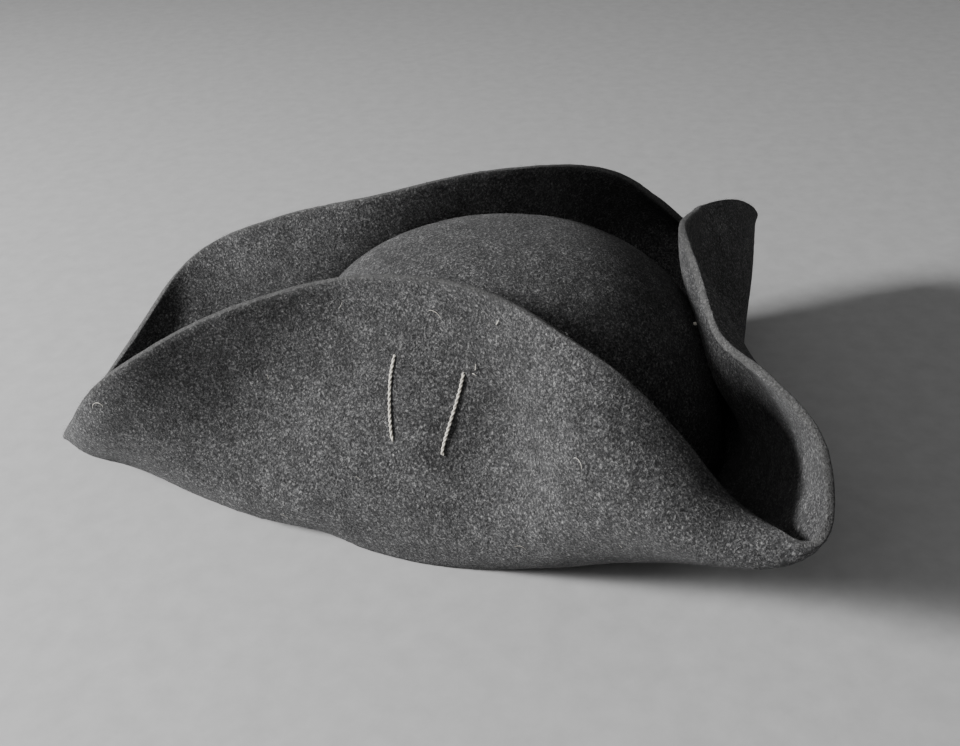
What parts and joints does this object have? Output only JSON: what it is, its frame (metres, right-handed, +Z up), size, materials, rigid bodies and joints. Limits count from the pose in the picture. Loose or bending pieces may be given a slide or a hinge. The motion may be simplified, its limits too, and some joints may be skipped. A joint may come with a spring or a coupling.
{
  "type": "pirate hat",
  "caption": "Three-cornered felt hat with a round crown, its brim turned up on the sides and back and held by twine ties.",
  "frame": {"origin": "middle of the head opening, on the plane of the brim break that the hat stands on", "axes": "+Z up through the crown, -Y towards the front corner, +X towards the wearer's left"},
  "size_m": [0.3068, 0.3382, 0.119],
  "materials": {
    "felt": "thick wool felt, fuzzy and matt",
    "ribbon": "ribbed cotton ribbon",
    "thread": "black sewing thread",
    "twine": "two-ply natural twine"
  },
  "bodies": {
    "root": {"crown": "felt", "brim": "felt", "sweatband": "ribbon", "sweatband_stitching": "thread", "left_front_tie": "twine", "left_rear_tie": "twine", "right_front_tie": "twine", "right_rear_tie": "twine", "back_left_tie": "twine", "back_right_tie": "twine"}
  },
  "joints": []
}
